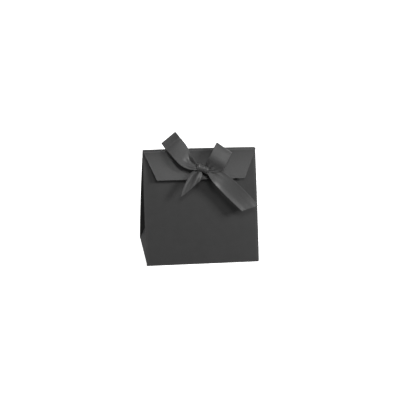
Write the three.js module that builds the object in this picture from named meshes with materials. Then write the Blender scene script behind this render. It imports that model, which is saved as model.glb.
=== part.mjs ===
// Tapered card gift box: two leaning panels meet at a narrow ridge, folded side gussets close
// the ends, and a trapezoid flap folds over the front, where a satin ribbon is tied in a bow.
// Millimetres, +Z up, front towards -Y, origin at the centre of the base on the ground.
import * as THREE from 'three';
import { ConvexGeometry } from 'three/addons/geometries/ConvexGeometry.js';
import { mergeVertices } from 'three/addons/utils/BufferGeometryUtils.js';

// Driving dimensions
const WIDTH = 100;            // across the front
const DEPTH = 70;             // front to back at the base
const SLANT = 100;            // height of a main panel along its slope
const MOUTH = 5.6;            // front to back over the panels' outer faces at the top
const CARD = 0.5;             // card thickness
const CREASE = 0.3;           // gap left in each crease
const GLUE = 0.1;             // gap left in each glued lap

const FLAP_LENGTH = 26;       // ridge to lower edge, along the flap
const FLAP_INSET = 11.2;      // how far each lower corner steps in
const FLAP_LEAN = 28;         // degrees from vertical
const HOLE_SPACING = 8;       // between the two ribbon holes
const HOLE_DIAMETER = 4.2;
const HOLE_DROP = 19.5;       // from the ridge crease to the hole centres

const BASE_LAP = 13.5;        // depth of the flaps glued to the base
const SEAM_LAP = 11;          // width of the glue tab

const RIBBON = 16;            // ribbon width
const RIBBON_THICK = 0.5;     // solid thickness that stands for the thin satin
const LEG_DIAMETER = 2.6;     // ribbon gathered to pass through a hole

// Derived sizes
const halfW = WIDTH / 2;
const halfD = DEPTH / 2;
const halfM = MOUTH / 2;
const lean = Math.asin((halfD - halfM) / SLANT);
const sinL = Math.sin(lean);
const cosL = Math.cos(lean);
const ridgeZ = SLANT * cosL;

const cardFinish = new THREE.MeshStandardMaterial({ color: 0x454545, roughness: 0.62, metalness: 0 });
const ribbonFinish = new THREE.MeshStandardMaterial({ color: 0x4e4e4e, roughness: 0.38, metalness: 0 });

const box = new THREE.Group();
box.name = 'gift_box';

function addMesh(name, geometry, finish) {
  const mesh = new THREE.Mesh(geometry, finish);
  mesh.name = name;
  box.add(mesh);
  return mesh;
}

// ---- flat-sided pieces, each the space between planes ----

const vec = (x, y, z) => new THREE.Vector3(x, y, z);

// A plane keeps the side that its normal points away from.
function plane(normal, point) {
  return new THREE.Plane().setFromNormalAndCoplanarPoint(normal.clone().normalize(), point);
}

function moved(p, distance) {
  return new THREE.Plane(p.normal.clone(), p.constant - distance);
}

function flipped(p) {
  return new THREE.Plane(p.normal.clone().negate(), -p.constant);
}

function meet(a, b, c) {
  const bc = b.normal.clone().cross(c.normal);
  const det = a.normal.dot(bc);
  if (Math.abs(det) < 1e-9) return null;
  const ca = c.normal.clone().cross(a.normal);
  const ab = a.normal.clone().cross(b.normal);
  return bc.multiplyScalar(-a.constant)
    .addScaledVector(ca, -b.constant)
    .addScaledVector(ab, -c.constant)
    .divideScalar(det);
}

function between(planes) {
  const corners = [];
  for (let i = 0; i < planes.length; i += 1) {
    for (let j = i + 1; j < planes.length; j += 1) {
      for (let k = j + 1; k < planes.length; k += 1) {
        const point = meet(planes[i], planes[j], planes[k]);
        if (!point) continue;
        const inside = planes.every((p) => p.distanceToPoint(point) < 1e-6);
        const known = corners.some((q) => q.distanceTo(point) < 1e-5);
        if (inside && !known) corners.push(point);
      }
    }
  }
  return new ConvexGeometry(corners);
}

const above = (z) => plane(vec(0, 0, -1), vec(0, 0, z));
const below = (z) => plane(vec(0, 0, 1), vec(0, 0, z));
const rightOf = (x) => plane(vec(-1, 0, 0), vec(x, 0, 0));
const leftOf = (x) => plane(vec(1, 0, 0), vec(x, 0, 0));
const behind = (y) => plane(vec(0, -1, 0), vec(0, y, 0));
const before = (y) => plane(vec(0, 1, 0), vec(0, y, 0));

// ---- main panels ----

// A card cut to an outline: x runs along the first axis, y along the second, and the card's
// thickness lies under the face.
function cutCard(outline, holes, origin, xAxis, yAxis) {
  const shape = new THREE.Shape(outline.map(([x, y]) => new THREE.Vector2(x, y)));
  for (const [x, y] of holes) {
    const hole = new THREE.Path();
    hole.absarc(x, y, HOLE_DIAMETER / 2, 0, Math.PI * 2, true);
    shape.holes.push(hole);
  }
  const solid = new THREE.ExtrudeGeometry(shape, { depth: CARD, bevelEnabled: false, curveSegments: 12 });
  solid.translate(0, 0, -CARD);
  const zAxis = xAxis.clone().cross(yAxis);
  solid.applyMatrix4(new THREE.Matrix4().makeBasis(xAxis, yAxis, zAxis).setPosition(origin));
  return solid;
}

const panelStart = 0.25;      // keeps the card's inner edge off the ground
const panelOutline = [
  [-halfW, panelStart], [halfW, panelStart], [halfW, SLANT], [-halfW, SLANT],
];
const frontUp = vec(0, sinL, cosL);
const backUp = vec(0, -sinL, cosL);

// Flap frame: u to the right, s down the flap from the ridge crease, h out from its face.
const tilt = THREE.MathUtils.degToRad(FLAP_LEAN);
const flapOrigin = vec(0, -halfM - CARD - 0.1, ridgeZ + CARD + 0.1);
const flapDown = vec(0, -Math.sin(tilt), -Math.cos(tilt));
const flapOut = vec(0, -Math.cos(tilt), Math.sin(tilt));

function onFlap(u, s, h) {
  return flapOrigin.clone()
    .addScaledVector(flapDown, s)
    .addScaledVector(flapOut, h)
    .add(vec(u, 0, 0));
}

function flapVector(u, s, h) {
  return vec(u, 0, 0).addScaledVector(flapDown, s).addScaledVector(flapOut, h);
}

// The ribbon leaves the flap square to it, so its holes in the front panel sit where that line lands.
const frontOuter = plane(vec(0, -cosL, sinL), vec(0, -halfD, 0));
const holeTop = onFlap(0, HOLE_DROP, 0);
const reach = frontOuter.distanceToPoint(holeTop) / flapOut.dot(frontOuter.normal);
const panelHole = onFlap(0, HOLE_DROP, -reach).sub(vec(0, -halfD, 0)).dot(frontUp);
const halfSpacing = HOLE_SPACING / 2;

addMesh('front_panel', cutCard(panelOutline, [[-halfSpacing, panelHole], [halfSpacing, panelHole]],
  vec(0, -halfD, 0), vec(1, 0, 0), frontUp), cardFinish);
addMesh('back_panel', cutCard(panelOutline, [], vec(0, halfD, 0), vec(-1, 0, 0), backUp), cardFinish);

// ---- side gussets ----
// Each end folds inwards: a centre triangle rises from the base to a point under the mouth,
// and a facet either side of it lies back against a main panel.

const pointFromMouth = halfM * Math.tan(lean);
const pointIn = Math.sqrt(halfD ** 2 - halfM ** 2 - pointFromMouth ** 2);
const gussetTan = pointIn / (ridgeZ - pointFromMouth);
const gussetCos = 1 / Math.hypot(1, gussetTan);
const facetLap = CARD + CREASE;                   // panel's outer face to the facet's near face
const seamLap = CARD * 2 + GLUE + 0.2;            // the same where the glue tab lies between
const tipLap = 1.75;                              // the same at the gusset's point

// A facet's face towards the main panel, through the side crease and the gusset's point.
function facetPlane(side, front, lap) {
  const inward = vec(0, front * cosL, -sinL);
  const foot = vec(side * halfW, -front * halfD, 0).addScaledVector(inward, lap);
  const head = vec(side * halfW, -front * halfM, ridgeZ).addScaledVector(inward, lap);
  const tip = vec(side * (halfW - pointIn), -front * halfM, ridgeZ).addScaledVector(inward, tipLap);
  const normal = head.clone().sub(foot).cross(tip.clone().sub(foot)).normalize();
  if (normal.dot(inward) > 0) normal.negate();
  return plane(normal, foot);
}

for (const [name, side] of [['left', -1], ['right', 1]]) {
  const centre = plane(vec(side, 0, gussetTan), vec(side * halfW, 0, 0));
  const faces = [];
  for (const [place, front] of [['front', 1], ['back', -1]]) {
    const seam = name === 'left' && place === 'front';
    const near = facetPlane(side, front, seam ? seamLap : facetLap);
    faces.push(moved(near, -CARD));
    addMesh(`${name}_gusset_${place}`, between([
      near,
      flipped(moved(near, -CARD)),
      side < 0 ? rightOf(-halfW + 0.1) : leftOf(halfW - 0.1),
      side < 0 ? leftOf(-halfW + pointIn) : rightOf(halfW - pointIn),
      below(ridgeZ - CREASE),
      flipped(moved(centre, CREASE)),
    ]), cardFinish);
  }
  addMesh(`${name}_gusset_centre`, between([
    centre,
    flipped(moved(centre, -CARD)),
    above(0.2),
    below(ridgeZ - 6),
    ...faces.map((face) => moved(face, -CREASE)),
  ]), cardFinish);
}

// Glue tab of the side seam, against the inside of the front panel at its left edge.
addMesh('seam_tab', between([
  moved(frontOuter, -CARD - GLUE),
  flipped(moved(frontOuter, -2 * CARD - GLUE)),
  rightOf(-halfW + 0.3),
  leftOf(-halfW + SEAM_LAP),
  above(6),
  below(ridgeZ - 6),
]), cardFinish);

// ---- base ----

const baseY = halfD - (CARD + sinL * CARD) / cosL - CREASE;
const baseX = halfW - CARD / gussetCos - gussetTan * CARD - CREASE;
addMesh('base_panel', between([
  above(0), below(CARD), rightOf(-baseX), leftOf(baseX), behind(-baseY), before(baseY),
]), cardFinish);

// The flaps lie on the base panel and meet at mitred corners.
const lapLow = CARD + GLUE;
const lapHigh = lapLow + CARD;
const lapY = baseY - 0.5;
const lapX = baseX - 0.6;
const mitreGap = 1;
for (const [name, side] of [['left', -1], ['right', 1]]) {
  const corner = vec(side * lapX, -lapY + mitreGap, 0);
  const farCorner = vec(side * lapX, lapY - mitreGap, 0);
  addMesh(`${name}_base_flap`, between([
    above(lapLow),
    below(lapHigh),
    side < 0 ? rightOf(-lapX) : leftOf(lapX),
    side < 0 ? leftOf(-lapX + BASE_LAP) : rightOf(lapX - BASE_LAP),
    plane(vec(-side, -1, 0), corner),
    plane(vec(-side, 1, 0), farCorner),
  ]), cardFinish);
}
addMesh('front_base_flap', between([
  above(lapLow),
  below(lapHigh),
  behind(-lapY),
  before(-lapY + BASE_LAP),
  plane(vec(-1, 1, 0), vec(-lapX + mitreGap, -lapY, 0)),
  plane(vec(1, 1, 0), vec(lapX - mitreGap, -lapY, 0)),
]), cardFinish);

// ---- closure: ridge strip and flap ----

const ridgeLow = ridgeZ + 0.23;
addMesh('ridge_strip', between([
  above(ridgeLow),
  below(ridgeLow + CARD),
  rightOf(-halfW),
  leftOf(halfW),
  behind(-halfM - 0.03),
  before(halfM - 0.25),
]), cardFinish);

const flapStart = 0.6;
const startInset = FLAP_INSET * flapStart / FLAP_LENGTH;
addMesh('closure_flap', cutCard(
  [
    [-halfW + FLAP_INSET, -FLAP_LENGTH], [halfW - FLAP_INSET, -FLAP_LENGTH],
    [halfW - startInset, -flapStart], [-halfW + startInset, -flapStart],
  ],
  [[-halfSpacing, -HOLE_DROP], [halfSpacing, -HOLE_DROP]],
  flapOrigin, vec(1, 0, 0), flapDown.clone().negate(),
), cardFinish);

// ---- ribbon ----

function smooth(values, i, t) {
  const last = values.length - 1;
  const at = (k) => values[Math.min(Math.max(k, 0), last)];
  const [p0, p1, p2, p3] = [at(i - 1), at(i), at(i + 1), at(i + 2)];
  return 0.5 * (2 * p1 + (p2 - p0) * t + (2 * p0 - 5 * p1 + 4 * p2 - p3) * t * t
    + (3 * p1 - p0 - 3 * p2 + p3) * t ** 3);
}

// A strip of ribbon along stations on the flap. Each station is its centre (u, s, h), the
// direction across the ribbon, the width there and how far its middle bows out.
function ribbonStrip(stations, steps) {
  const columns = stations[0].map((_, c) => stations.map((row) => row[c]));
  const rows = [];
  for (let i = 0; i < stations.length - 1; i += 1) {
    for (let k = 0; k < steps; k += 1) {
      rows.push(columns.map((column) => smooth(column, i, k / steps)));
    }
  }
  rows.push(stations[stations.length - 1]);
  const centres = rows.map((r) => vec(r[0], r[1], r[2]));
  const across = 4;
  const positions = [];
  rows.forEach((row, i) => {
    const ahead = centres[Math.min(i + 1, rows.length - 1)];
    const past = centres[Math.max(i - 1, 0)];
    const along = ahead.clone().sub(past).normalize();
    const wide = vec(row[3], row[4], row[5]).normalize();
    const out = along.clone().cross(wide).normalize();
    for (const face of [1, -1]) {
      for (let k = 0; k <= across; k += 1) {
        const x = (face > 0 ? k : across - k) / across - 0.5;
        const lift = row[7] * (1 - 4 * x * x) + face * RIBBON_THICK / 2;
        const p = centres[i].clone().addScaledVector(wide, x * row[6]).addScaledVector(out, lift);
        positions.push(...onFlap(p.x, p.y, p.z).toArray());
      }
    }
  });
  const ring = 2 * (across + 1);
  const faces = [];
  for (let i = 0; i < rows.length - 1; i += 1) {
    for (let k = 0; k < ring; k += 1) {
      const a = i * ring + k;
      const b = i * ring + (k + 1) % ring;
      faces.push(a, b, b + ring, a, b + ring, a + ring);
    }
  }
  for (let k = 0; k < across; k += 1) {
    const [a, b, c, d] = [k, k + 1, ring - 2 - k, ring - 1 - k];
    const end = (rows.length - 1) * ring;
    faces.push(a, c, b, a, d, c);
    faces.push(end + a, end + b, end + c, end + a, end + c, end + d);
  }
  return closedMesh(positions, faces);
}

// Turns the faces outwards if they were wound the other way.
function closedMesh(positions, faces) {
  let volume = 0;
  const corner = (i) => vec(positions[3 * i], positions[3 * i + 1], positions[3 * i + 2]);
  for (let i = 0; i < faces.length; i += 3) {
    volume += corner(faces[i]).dot(corner(faces[i + 1]).cross(corner(faces[i + 2])));
  }
  const wound = volume > 0 ? faces : faces.slice().reverse();
  const geometry = new THREE.BufferGeometry();
  geometry.setAttribute('position', new THREE.Float32BufferAttribute(positions, 3));
  geometry.setIndex(wound);
  return geometry;
}

// Left loop: out from the knot, up over the ridge, round its fold and back beneath.
addMesh('bow_left_loop', ribbonStrip([
  [-4.8, 15.2, 5.0, 0.10, 0.70, 0.70, 5, 0.8],
  [-8.8, 14.0, 5.6, -0.20, 0.66, 0.72, 10, 2.0],
  [-13.6, 9.4, 5.6, -0.50, 0.80, 0.30, 15, 1.4],
  [-18.0, 2.4, 5.5, -0.72, 0.69, 0, RIBBON, 0.8],
  [-22.1, -3.6, 6.0, -0.78, 0.62, -0.15, RIBBON, 0.4],
  [-25.8, -8.4, 6.4, -0.76, 0.56, -0.34, RIBBON, 0],
  [-27.2, -10.0, 4.8, -0.76, 0.55, -0.36, RIBBON, 0],
  [-25.9, -8.4, 3.4, -0.76, 0.56, -0.32, RIBBON, 0],
  [-22.1, -3.4, 3.0, -0.78, 0.62, -0.12, RIBBON, 0],
  [-17.4, 3.0, 2.4, -0.70, 0.70, 0, 15, 0],
  [-12.2, 9.6, 2.1, -0.50, 0.85, 0.05, 11, 0],
  [-7.8, 13.8, 2.0, -0.25, 0.95, 0.05, 7, 0],
  [-4.9, 15.4, 1.9, 0, 1, 0.05, 4, 0],
], 3), ribbonFinish);

// Right loop: the same, shorter and standing further off the flap.
addMesh('bow_right_loop', ribbonStrip([
  [7.2, 17.6, 5.2, 0.35, 0.75, 0.55, 5, 0.6],
  [10.0, 16.2, 7.6, 0.60, 0.70, 0.35, 10, 1.0],
  [12.9, 12.3, 9.6, 0.78, 0.62, 0.10, 14.5, 0.8],
  [15.4, 8.2, 10.2, 0.80, 0.60, 0, 15.5, 0.4],
  [17.8, 4.4, 10.0, 0.80, 0.60, 0, RIBBON, 0.2],
  [19.8, 1.3, 8.8, 0.80, 0.60, 0, RIBBON, 0],
  [20.6, 0, 6.8, 0.80, 0.60, 0, RIBBON, 0],
  [19.8, 1.3, 5.0, 0.80, 0.60, 0, RIBBON, 0],
  [17.2, 5.4, 4.4, 0.80, 0.60, 0, 15, 0],
  [14.2, 10.2, 3.8, 0.74, 0.66, 0.10, 12, 0],
  [10.8, 14.4, 3.0, 0.60, 0.78, 0.15, 7.5, 0],
  [7.4, 16.8, 2.4, 0.40, 0.90, 0.10, 4, 0],
], 3), ribbonFinish);

// Right tail: falls from the knot across the front panel, its end cut on the slant.
addMesh('ribbon_right_tail', ribbonStrip([
  [8.2, 21.4, 4.5, 0.55, -0.62, -0.22, 4.5, 0.1],
  [10.4, 22.8, 4.8, 0.64, -0.62, -0.15, 10.0, 0.4],
  [14.8, 26.2, 5.2, 0.66, -0.62, -0.05, 13.6, 0.4],
  [20.6, 31.7, 5.0, 0.66, -0.64, 0.12, 14.6, 0.3],
  [27.1, 38.4, 4.3, 0.66, -0.64, 0.18, 14.8, 0.3],
  [33.3, 44.7, 3.3, 0.70, -0.56, 0.15, 14.6, 0.2],
  [37.6, 49.2, 2.4, 0.80, -0.42, 0.10, 14.4, 0],
  [41.1, 53.0, 1.7, 0.97, -0.22, 0.05, 14.2, 0],
], 3), ribbonFinish);

// Left tail: shorter, narrowing to the point of its long slanted cut.
addMesh('ribbon_left_tail', ribbonStrip([
  [-4.9, 22.0, 4.0, 0.93, 0.25, 0.12, 7.5, 0],
  [-6.0, 25.0, 4.4, 0.92, 0.28, 0.18, 10, -0.2],
  [-7.8, 28.4, 4.8, 0.90, 0.30, 0.26, 10.6, -0.3],
  [-11.7, 32.5, 4.5, 0.88, 0.30, 0.34, 7.8, -0.2],
  [-15.5, 37.0, 3.6, 0.86, 0.30, 0.40, 4.3, 0],
  [-18.7, 41.2, 2.6, 0.84, 0.30, 0.42, 1.2, 0],
], 3), ribbonFinish);

// Knot: a pinched pillow, tipped down to the right.
const knotSize = { along: 5.0, across: 3.0, out: 2.8 };
const knotTip = THREE.MathUtils.degToRad(22);
const knot = mergeVertices(new THREE.SphereGeometry(1, 20, 12).deleteAttribute('normal').deleteAttribute('uv'));
const knotPoints = knot.getAttribute('position');
for (let i = 0; i < knotPoints.count; i += 1) {
  const p = vec().fromBufferAttribute(knotPoints, i);
  const squared = (v) => Math.sign(v) * Math.abs(v) ** 0.75;
  const a = squared(p.x) * knotSize.along;
  const waist = 0.86 + 0.14 * Math.abs(p.x);
  const b = squared(p.y) * knotSize.across * waist;
  const u = 1.0 + a * Math.cos(knotTip) - b * Math.sin(knotTip);
  const s = 17.2 + a * Math.sin(knotTip) + b * Math.cos(knotTip);
  knotPoints.setXYZ(i, ...onFlap(u, s, 4.1 + p.z * knotSize.out).toArray());
}
addMesh('ribbon_knot', closedMesh([...knotPoints.array], [...knot.getIndex().array]), ribbonFinish);

// Legs: the gathered ribbon through each pair of holes, from under the knot to inside the panel.
const legTop = 0.8;
const legEnd = -reach - CARD - 0.5;
for (const [name, side] of [['left', -1], ['right', 1]]) {
  const leg = new THREE.CylinderGeometry(LEG_DIAMETER / 2, LEG_DIAMETER / 2, legTop - legEnd, 16);
  leg.applyMatrix4(new THREE.Matrix4()
    .makeBasis(vec(1, 0, 0), flapOut, flapVector(0, 1, 0))
    .setPosition(onFlap(side * halfSpacing, HOLE_DROP, (legTop + legEnd) / 2)));
  addMesh(`ribbon_${name}_leg`, leg, ribbonFinish);
}

// Inner span: the ribbon between the two legs, flat behind the front panel.
const spanMiddle = vec(0, -halfD, 0).addScaledVector(frontUp, panelHole);
addMesh('ribbon_inner_span', between([
  moved(frontOuter, -CARD - 1.15),
  flipped(moved(frontOuter, -CARD - 1.75)),
  rightOf(-halfSpacing - 2),
  leftOf(halfSpacing + 2),
  plane(frontUp, spanMiddle.clone().addScaledVector(frontUp, 2.6)),
  plane(frontUp.clone().negate(), spanMiddle.clone().addScaledVector(frontUp, -2.6)),
]), ribbonFinish);

export default box;
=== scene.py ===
"""Gift box of folded dark card with a satin ribbon bow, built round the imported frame."""
import math

import bmesh
import bpy
import numpy as np
from mathutils import Matrix, Vector


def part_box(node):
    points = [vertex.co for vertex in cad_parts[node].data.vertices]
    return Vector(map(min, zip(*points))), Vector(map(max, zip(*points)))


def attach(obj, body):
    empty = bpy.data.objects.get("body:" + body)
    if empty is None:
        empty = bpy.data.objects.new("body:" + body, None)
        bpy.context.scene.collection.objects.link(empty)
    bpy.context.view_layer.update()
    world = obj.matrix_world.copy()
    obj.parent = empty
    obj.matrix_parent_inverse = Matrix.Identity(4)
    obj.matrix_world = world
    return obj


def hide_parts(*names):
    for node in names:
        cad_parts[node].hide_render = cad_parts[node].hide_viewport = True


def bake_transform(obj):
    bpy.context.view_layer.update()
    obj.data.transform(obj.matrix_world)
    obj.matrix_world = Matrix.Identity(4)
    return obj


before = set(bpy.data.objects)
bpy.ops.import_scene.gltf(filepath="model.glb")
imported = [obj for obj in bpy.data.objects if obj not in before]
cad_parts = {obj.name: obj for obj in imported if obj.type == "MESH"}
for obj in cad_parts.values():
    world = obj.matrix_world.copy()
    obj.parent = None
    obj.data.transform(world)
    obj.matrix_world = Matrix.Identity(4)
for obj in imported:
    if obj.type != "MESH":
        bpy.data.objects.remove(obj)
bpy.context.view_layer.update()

MM = 0.001

# ---- driving dimensions, in millimetres, as in the CAD ----
WIDTH = 100.0
DEPTH = 70.0
SLANT = 100.0
MOUTH = 5.6
CARD = 0.5
GLUE = 0.1
CREASE = 0.3
FLAP_LENGTH = 26.0
FLAP_INSET = 11.2
FLAP_LEAN = math.radians(28.0)
HOLE_SPACING = 8.0
HOLE_DIAMETER = 4.2
HOLE_DROP = 19.5
SEAM_LAP = 11.0
BASE_LAP = 13.5
RIBBON = 16.0
SATIN = 0.2
FLAP_GAP = 0.1            # from the flap's inner corner to the panel and the ridge strip
STRIP_GAP = 0.23          # from the panels' top edges to the ridge strip

HALF_W = WIDTH / 2
HALF_D = DEPTH / 2
HALF_M = MOUTH / 2
LEAN = math.asin((HALF_D - HALF_M) / SLANT)
SIN_L, COS_L, TAN_L = math.sin(LEAN), math.cos(LEAN), math.tan(LEAN)
RIDGE_Z = SLANT * COS_L
POINT_FROM_MOUTH = HALF_M * TAN_L
POINT_IN = math.sqrt(HALF_D ** 2 - HALF_M ** 2 - POINT_FROM_MOUTH ** 2)
GUSSET_TAN = POINT_IN / (RIDGE_Z - POINT_FROM_MOUTH)
STRIP_Z = RIDGE_Z + STRIP_GAP + CARD / 2

# Flap frame: u to the right, s down the flap from the ridge crease, h out from its face.
FLAP_ORIGIN = np.array([0.0, -HALF_M - CARD - FLAP_GAP, RIDGE_Z + CARD + FLAP_GAP])
ACROSS = np.array([1.0, 0.0, 0.0])
DOWN = np.array([0.0, -math.sin(FLAP_LEAN), -math.cos(FLAP_LEAN)])
OUT = np.array([0.0, -math.cos(FLAP_LEAN), math.sin(FLAP_LEAN)])


def on_flap(points):
    """Points (u, s, h) of the flap frame in the box's frame."""
    p = np.asarray(points, float)
    return FLAP_ORIGIN + p[..., :1] * ACROSS + p[..., 1:2] * DOWN + p[..., 2:3] * OUT


def panel_gap():
    """Distance along the ribbon's line from the flap's face to the front panel's."""
    normal = np.array([0.0, -COS_L, SIN_L])
    start = on_flap([0, HOLE_DROP, 0])
    return (start - np.array([0.0, -HALF_D, 0.0])) @ normal / (OUT @ normal)


REACH = panel_gap()


# ---- mesh helpers ----

SHARP_CARD = 35.0         # degrees between faces, above which a card's edge looks sharp
SHARP_CLOTH = 60.0
HOLE_SIDES = 48
WALL_CUT, FLAP_CUT = 5.0, 6.0     # lengths of the rods that cut the holes


def make_object(name, points, faces, sharp=SHARP_CARD):
    """A smooth-shaded mesh from points in millimetres."""
    mesh = bpy.data.meshes.new(name)
    mesh.from_pydata([tuple(p) for p in np.asarray(points) * MM], [], faces)
    mesh.validate()
    bm = bmesh.new()
    bm.from_mesh(mesh)
    bmesh.ops.recalc_face_normals(bm, faces=bm.faces)
    bm.to_mesh(mesh)
    bm.free()
    mesh.polygons.foreach_set("use_smooth", [True] * len(mesh.polygons))
    mesh.set_sharp_from_angle(angle=math.radians(sharp))
    obj = bpy.data.objects.new(name, mesh)
    bpy.context.scene.collection.objects.link(obj)
    return obj


def applied(obj):
    """The object with its modifiers made final."""
    depsgraph = bpy.context.evaluated_depsgraph_get()
    mesh = bpy.data.meshes.new_from_object(obj.evaluated_get(depsgraph))
    obj.modifiers.clear()
    obj.data = mesh
    mesh.set_sharp_from_angle(angle=math.radians(SHARP_CARD))
    return obj


def thicken(obj, thickness, rim_slot=0):
    """Gives a sheet its thickness, half to each side."""
    solid = obj.modifiers.new("thickness", "SOLIDIFY")
    solid.thickness = thickness * MM
    solid.offset = 0
    solid.use_even_offset = True
    solid.use_quality_normals = True
    solid.material_offset_rim = rim_slot
    return applied(obj)


def hole_cutter(side, height, length, material):
    """A rod through one ribbon hole: side -1 is the left hole, 1 the right."""
    turn = np.linspace(0, 2 * math.pi, HOLE_SIDES, endpoint=False)
    ring = np.stack([
        side * HOLE_SPACING / 2 + HOLE_DIAMETER / 2 * np.cos(turn),
        HOLE_DROP + HOLE_DIAMETER / 2 * np.sin(turn),
    ], axis=1)
    n = len(ring)
    ends = [np.column_stack([ring, np.full(n, height + end * length)]) for end in (-0.5, 0.5)]
    faces = [list(range(n)), list(range(2 * n - 1, n - 1, -1))]
    faces += [[k, n + k, n + (k + 1) % n, (k + 1) % n] for k in range(n)]
    cutter = make_object("cutter", on_flap(np.concatenate(ends)), faces)
    cutter.data.materials.append(material)
    return cutter


def punch(obj, height, length):
    """Cuts the two ribbon holes through a card, along the ribbon's line."""
    for side in (-1, 1):
        cutter = hole_cutter(side, height, length, obj.data.materials[1])
        cut = obj.modifiers.new("hole", "BOOLEAN")
        cut.operation = "DIFFERENCE"
        cut.solver = "EXACT"
        cut.material_mode = "TRANSFER"
        cut.object = cutter
        applied(obj)
        bpy.data.objects.remove(cutter)


def drop_loose_points(obj):
    """Deletes points that no face uses."""
    bm = bmesh.new()
    bm.from_mesh(obj.data)
    bmesh.ops.delete(bm, geom=[v for v in bm.verts if not v.link_faces], context="VERTS")
    bm.to_mesh(obj.data)
    bm.free()


def tube_faces(rings, around):
    """Quads between closed rings that each have the same number of points."""
    faces = []
    for i in range(rings - 1):
        for j in range(around):
            a, b = i * around + j, i * around + (j + 1) % around
            faces.append([a, b, b + around, a + around])
    return faces


def unit(rows):
    """Each row made one long."""
    return rows / np.linalg.norm(rows, axis=1)[:, None]


def add_attribute(obj, name, values):
    """Gives a mesh one number at each of its points."""
    layer = obj.data.attributes.new(name, "FLOAT", "POINT")
    layer.data.foreach_set("value", np.asarray(values, np.float32))


def smooth_step(x):
    """From 0 to 1 as x does, level at both ends."""
    t = np.clip(x, 0, 1)
    return t * t * (3 - 2 * t)


def smooth_rows(stations, per_gap):
    """Catmull-Rom rows through the stations."""
    p = np.array(stations, float)
    last = len(p) - 1
    rows = []
    for i in range(last):
        a, b, c, d = p[max(i - 1, 0)], p[i], p[i + 1], p[min(i + 2, last)]
        for t in np.arange(per_gap) / per_gap:
            rows.append(0.5 * (2 * b + (c - a) * t + (2 * a - 5 * b + 4 * c - d) * t ** 2
                               + (3 * b - a - 3 * c + d) * t ** 3))
    rows.append(p[-1])
    return np.array(rows)


# ---- materials ----

# Noise scales per metre: the card's two lays of fibre, then the satin's threads and slubs.
FIBRES_ALONG = (1500.0, 5200.0, 5200.0)
FIBRES_ACROSS = (5200.0, 4200.0, 1300.0)
THREADS = (7500.0, 500.0, 1.0)
SLUBS = (900.0, 160.0, 1.0)
RIB_PITCH = 0.00042                           # metres between the satin's cross ribs
SELVEDGE = (0.0072, 0.0076)                   # metres from the middle where the edge begins
CARD_BUMP, SATIN_BUMP, PAPER_BUMP = 0.000022, 0.000018, 0.00001      # metres
FLOOR_GLOW = 0.93                             # the paper's own light, so it reads as white


class Nodes:
    """A short way to write a material's nodes."""

    def __init__(self, name):
        self.material = bpy.data.materials.new(name)
        self.material.use_nodes = True
        self.tree = self.material.node_tree
        self.shader = self.tree.nodes["Principled BSDF"]

    def add(self, kind, inputs=None, **settings):
        node = self.tree.nodes.new(kind)
        for key, value in settings.items():
            setattr(node, key, value)
        for key, value in (inputs or {}).items():
            self.put(value, node.inputs[key])
        return node

    def put(self, value, socket):
        if isinstance(value, bpy.types.NodeSocket):
            self.tree.links.new(value, socket)
        else:
            socket.default_value = value

    def math(self, operation, a, b=0.0):
        return self.add("ShaderNodeMath", {0: a, 1: b}, operation=operation).outputs[0]

    def noise(self, vector, scale, detail=4.0, roughness=0.55):
        inputs = {"Vector": vector, "Scale": scale, "Detail": detail, "Roughness": roughness}
        return self.add("ShaderNodeTexNoise", inputs).outputs["Fac"]

    def stretched(self, source, scale):
        return self.add("ShaderNodeMapping", {"Vector": source, "Scale": scale}).outputs[0]

    def ranged(self, value, low, high, from_low=0.25, from_high=0.75):
        inputs = {
            "Value": value,
            "From Min": from_low,
            "From Max": from_high,
            "To Min": low,
            "To Max": high,
        }
        return self.add("ShaderNodeMapRange", inputs, clamp=True).outputs[0]

    def tone(self, value):
        return self.add("ShaderNodeCombineColor", {0: value, 1: value, 2: value}).outputs[0]

    def finish(self, color, roughness, bump_height, bump_distance, **extra):
        self.put(color, self.shader.inputs["Base Color"])
        self.put(roughness, self.shader.inputs["Roughness"])
        inputs = {"Height": bump_height, "Distance": bump_distance, "Strength": 1.0}
        bump = self.add("ShaderNodeBump", inputs)
        self.put(bump.outputs[0], self.shader.inputs["Normal"])
        for key, value in extra.items():
            self.put(value, self.shader.inputs[key.replace("_", " ")])
        return self.material


def card_material(name, tone, worn_tone, base_roughness):
    """Uncoated card: matted fibres, faint mottling and creases rubbed a little lighter."""
    n = Nodes(name)
    place = n.add("ShaderNodeTexCoord").outputs["Object"]
    mottle = n.noise(place, 160.0, 5.0)
    cloud = n.noise(place, 28.0, 3.0)
    fibre = n.noise(n.stretched(place, FIBRES_ALONG), 1.0, 3.0, 0.6)
    cross_fibre = n.noise(n.stretched(place, FIBRES_ACROSS), 1.0, 3.0, 0.6)
    fibres = n.math("MAXIMUM", fibre, cross_fibre)
    wear = n.add("ShaderNodeAttribute", attribute_name="wear").outputs["Fac"]
    rubbed = n.math("MULTIPLY", wear, n.ranged(n.noise(place, 900.0, 4.0), 0.35, 1.0))
    shade = n.math("MULTIPLY", n.ranged(mottle, 0.95, 1.05), n.ranged(cloud, 0.97, 1.03))
    shade = n.math("MULTIPLY", shade, n.ranged(fibres, 0.93, 1.08, 0.4, 0.75))
    value = n.math("MULTIPLY", shade, tone)
    value = n.math("ADD", value, n.math("MULTIPLY", rubbed, worn_tone - tone))
    height = n.math("ADD", fibres, n.math("MULTIPLY", mottle, 1.6))
    rough = n.ranged(mottle, base_roughness - 0.02, base_roughness + 0.02)
    return n.finish(n.tone(value), rough, height, CARD_BUMP, Specular_IOR_Level=0.5)


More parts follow.
